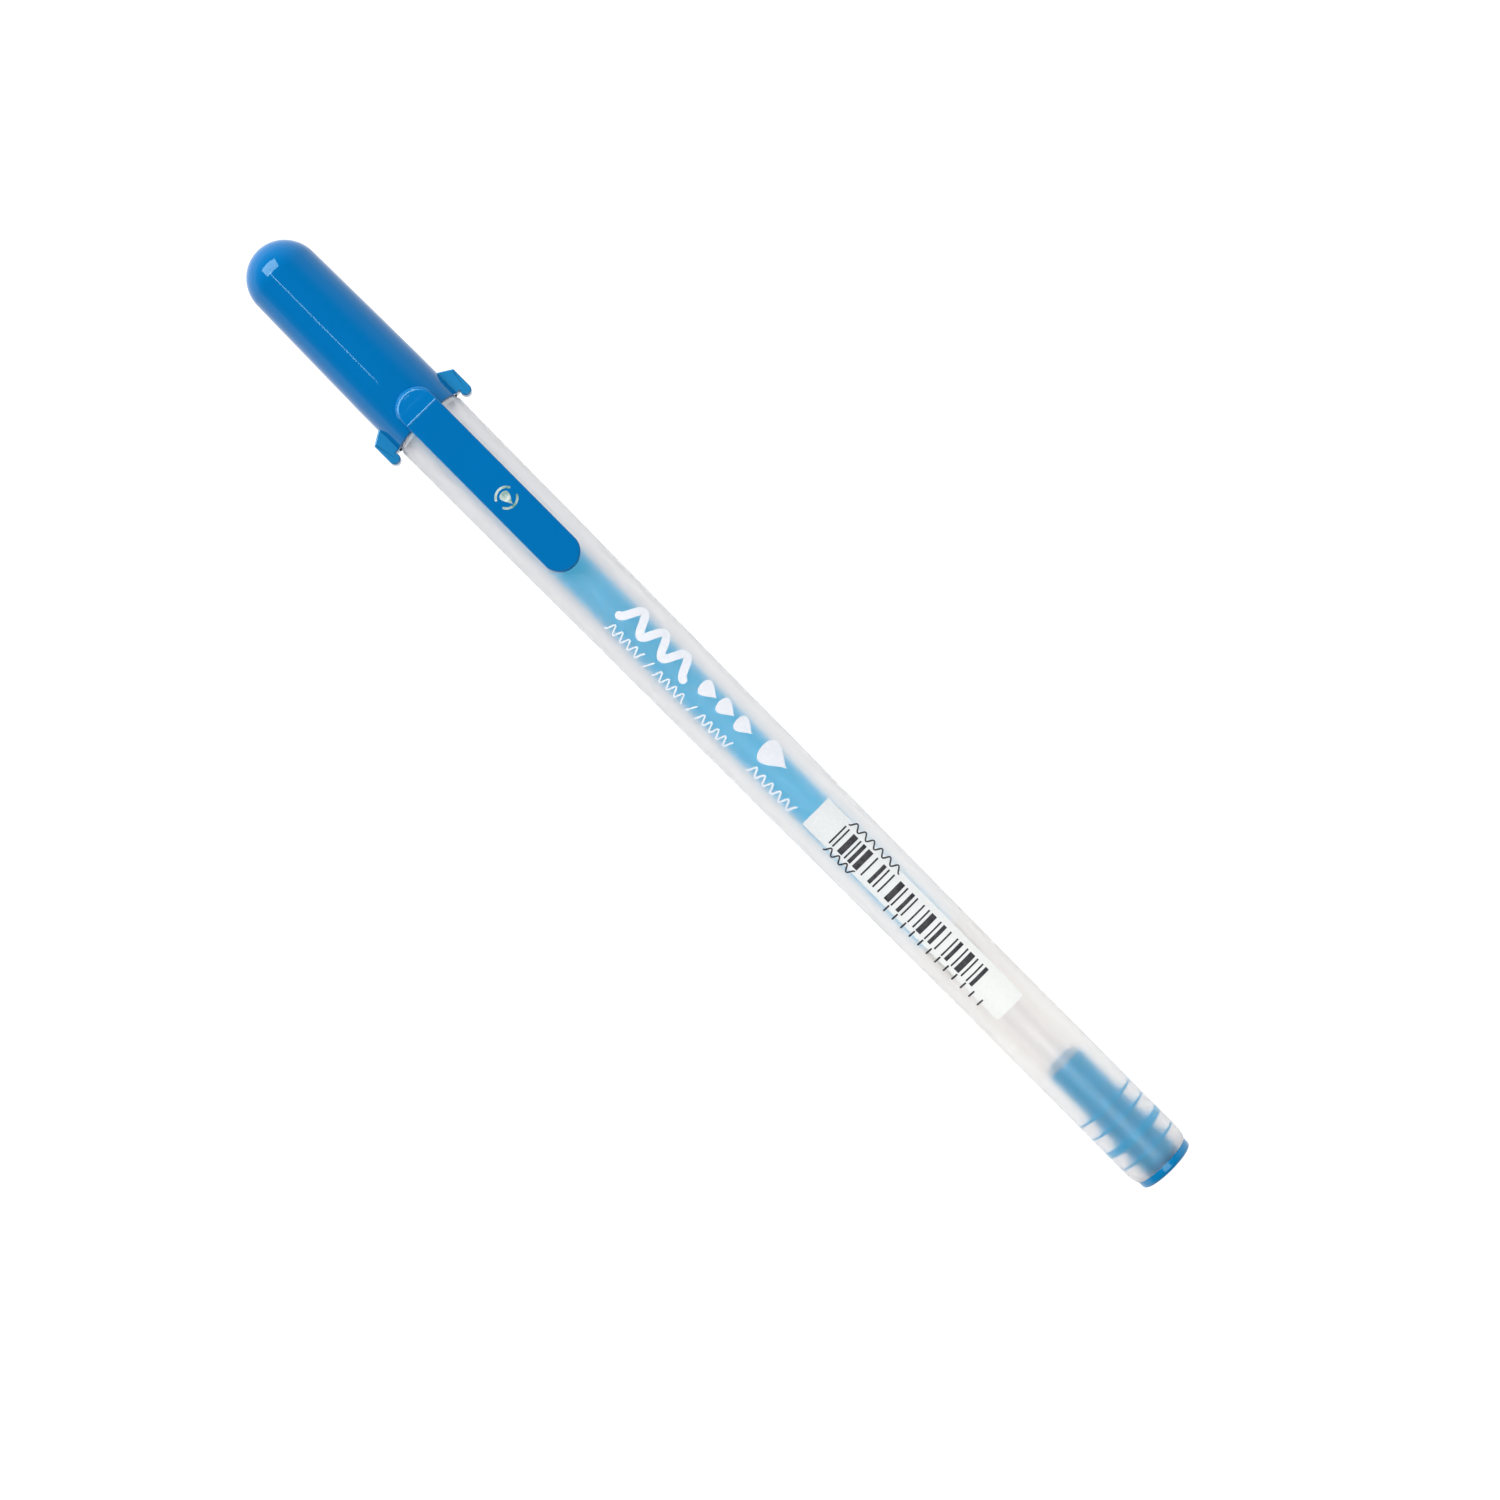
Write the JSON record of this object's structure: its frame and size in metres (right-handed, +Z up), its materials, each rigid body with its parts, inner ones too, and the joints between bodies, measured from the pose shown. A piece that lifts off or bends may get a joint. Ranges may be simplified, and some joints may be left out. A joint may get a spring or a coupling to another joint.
{
  "type": "gel pen",
  "caption": "Capped gel pen: frosted barrel with a visible ink tube, a blue domed cap with a flat clip and side lugs, and a finned blue tail plug.",
  "frame": {"origin": "centre of the flat tail face", "axes": "+X along the pen from the tail to the dome of the cap, +Z up through the clip, +Y across, lying down"},
  "size_m": [0.15, 0.0128, 0.0109],
  "materials": {
    "frosted_barrel": "frosted translucent polypropylene",
    "clear_nose": "translucent polypropylene, satin",
    "clear_tube": "clear polypropylene tube",
    "blue_ink": "blue gel ink",
    "grease": "clear follower grease",
    "white_holder": "natural polypropylene",
    "steel_point": "turned stainless steel",
    "carbide_ball": "ground tungsten carbide",
    "blue_plastic": "glossy moulded polypropylene",
    "soft_seal": "soft elastomer",
    "silver_foil": "hot-stamped foil"
  },
  "bodies": {
    "barrel": {"barrel_tube": "frosted_barrel", "nose_cone": "clear_nose", "refill_tube": "clear_tube", "ink_column": "blue_ink", "tip_holder": "white_holder", "point_tip": "steel_point", "tail_plug": "blue_plastic"},
    "cap": {"cap_shell": "blue_plastic", "cap_seal": "soft_seal"},
    "clip": {"clip_blade": "blue_plastic", "clip_foil": "silver_foil"},
    "follower": {"ink_follower": "grease"},
    "valve": {"check_ball": "carbide_ball"},
    "ball": {"writing_ball": "carbide_ball"}
  },
  "joints": [
    {"name": "cap_pull", "type": "slide", "parent": "barrel", "child": "cap", "axis": [1, 0, 0], "range_m": [0, 0.05]},
    {"name": "clip_flex", "type": "hinge", "parent": "cap", "child": "clip", "pos_m": [0.1223, 0, 0.00603], "axis": [0, 1, 0], "range_deg": [0, 4], "stiffness_Nm_per_rad": 1},
    {"name": "follower_advance", "type": "slide", "parent": "barrel", "child": "follower", "axis": [1, 0, 0], "range_m": [0, 0.087], "deforming": ["ink_column"]},
    {"name": "valve_travel", "type": "slide", "parent": "barrel", "child": "valve", "axis": [1, 0, 0], "range_m": [0, 0.001]},
    {"name": "ball_roll", "type": "hinge", "parent": "barrel", "child": "ball", "pos_m": [0.145, 0, 0], "axis": [0, 1, 0], "continuous": true}
  ]
}
